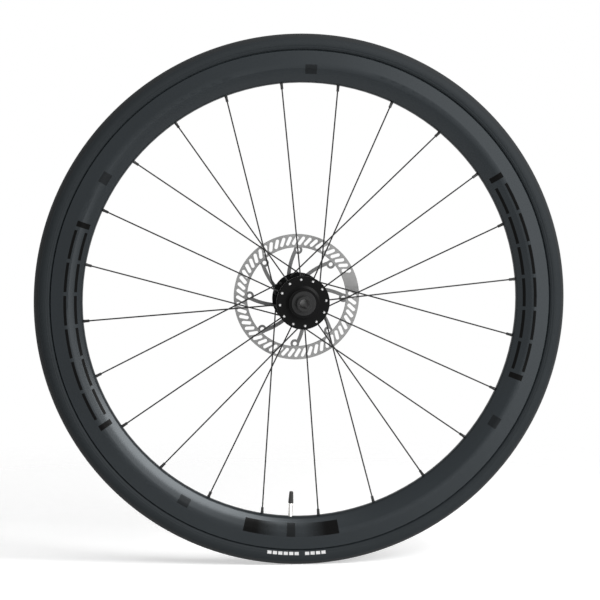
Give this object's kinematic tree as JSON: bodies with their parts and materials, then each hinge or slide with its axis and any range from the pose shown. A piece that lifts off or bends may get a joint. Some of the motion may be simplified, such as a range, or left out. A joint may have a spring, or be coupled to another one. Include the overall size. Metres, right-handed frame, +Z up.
{
  "type": "bicycle front wheel",
  "caption": "Road bicycle front wheel with slick tyre, deep satin-black rim, radial and crossed spokes, thru-axle hub on sealed bearings, slotted brake rotor and slender valve.",
  "frame": {"origin": "centre of the wheel, midway along the thru-axle bore", "axes": "+Y along the axle to the rider's left (brake side), +X forward, +Z up; the wheel spins about +Y"},
  "size_m": [0.6728, 0.1, 0.6729],
  "materials": {
    "tyre_rubber": "matte black rubber with a fine file tread",
    "tube_rubber": "smooth matte butyl",
    "rim_tape": "smooth woven tape",
    "rim_satin_black": "satin black with gloss black bars",
    "spoke_steel": "dark drawn steel",
    "nipple_black": "black plated",
    "hub_black": "black anodised, turned",
    "axle_alloy": "bare turned alloy",
    "bearing_steel": "ground steel",
    "seal_rubber": "moulded rubber",
    "cage_nylon": "moulded nylon",
    "rotor_steel": "ground stainless with swept track",
    "bolt_black": "black coated steel",
    "valve_plated": "nickel plated",
    "cap_plastic": "moulded black"
  },
  "bodies": {
    "axle": {"axle": "axle_alloy", "end_cap_right": "hub_black", "end_cap_left": "hub_black", "bearing_right_inner_race": "bearing_steel", "bearing_left_inner_race": "bearing_steel"},
    "wheel": {"spoke_right_01": "spoke_steel", "spoke_right_02": "spoke_steel", "spoke_right_03": "spoke_steel", "spoke_right_04": "spoke_steel", "spoke_right_05": "spoke_steel", "spoke_right_06": "spoke_steel", "spoke_right_07": "spoke_steel", "spoke_right_08": "spoke_steel", "spoke_right_09": "spoke_steel", "spoke_right_10": "spoke_steel", "spoke_right_11": "spoke_steel", "spoke_right_12": "spoke_steel", "spoke_left_01": "spoke_steel", "spoke_left_02": "spoke_steel", "spoke_left_03": "spoke_steel", "spoke_left_04": "spoke_steel", "spoke_left_05": "spoke_steel", "spoke_left_06": "spoke_steel", "spoke_left_07": "spoke_steel", "spoke_left_08": "spoke_steel", "spoke_left_09": "spoke_steel", "spoke_left_10": "spoke_steel", "spoke_left_11": "spoke_steel", "spoke_left_12": "spoke_steel", "tyre": "tyre_rubber", "inner_tube": "tube_rubber", "rim_tape": "rim_tape", "rim": "rim_satin_black", "nipples_right": "nipple_black", "nipples_left": "nipple_black", "hub_shell": "hub_black", "bearing_right_outer_race": "bearing_steel", "bearing_left_outer_race": "bearing_steel", "bearing_right_seals": "seal_rubber", "bearing_left_seals": "seal_rubber", "brake_rotor": "rotor_steel", "rotor_bolts": "bolt_black", "valve_stem": "valve_plated"},
    "ball_rows": {"bearing_balls": "bearing_steel", "bearing_cages": "cage_nylon"},
    "valve_cap": {"valve_cap": "cap_plastic"},
    "valve_nut": {"valve_lock_nut": "valve_plated"}
  },
  "joints": [
    {"name": "wheel_spin", "type": "hinge", "parent": "axle", "child": "wheel", "pos_m": [0, 0, 0], "axis": [0, 1, 0], "continuous": true},
    {"name": "ball_row_spin", "type": "hinge", "parent": "axle", "child": "ball_rows", "pos_m": [0, 0, 0], "axis": [0, 1, 0], "continuous": true},
    {"name": "valve_cap_off", "type": "slide", "parent": "wheel", "child": "valve_cap", "axis": [0.0454, 0, 0.999], "range_m": [0, 0.025]},
    {"name": "valve_nut_open", "type": "slide", "parent": "wheel", "child": "valve_nut", "axis": [0.0454, 0, 0.999], "range_m": [0, 0.0012]}
  ],
  "couplings": [
    {"joint": "ball_row_spin", "follows": "wheel_spin", "ratio": 0.59209}
  ]
}
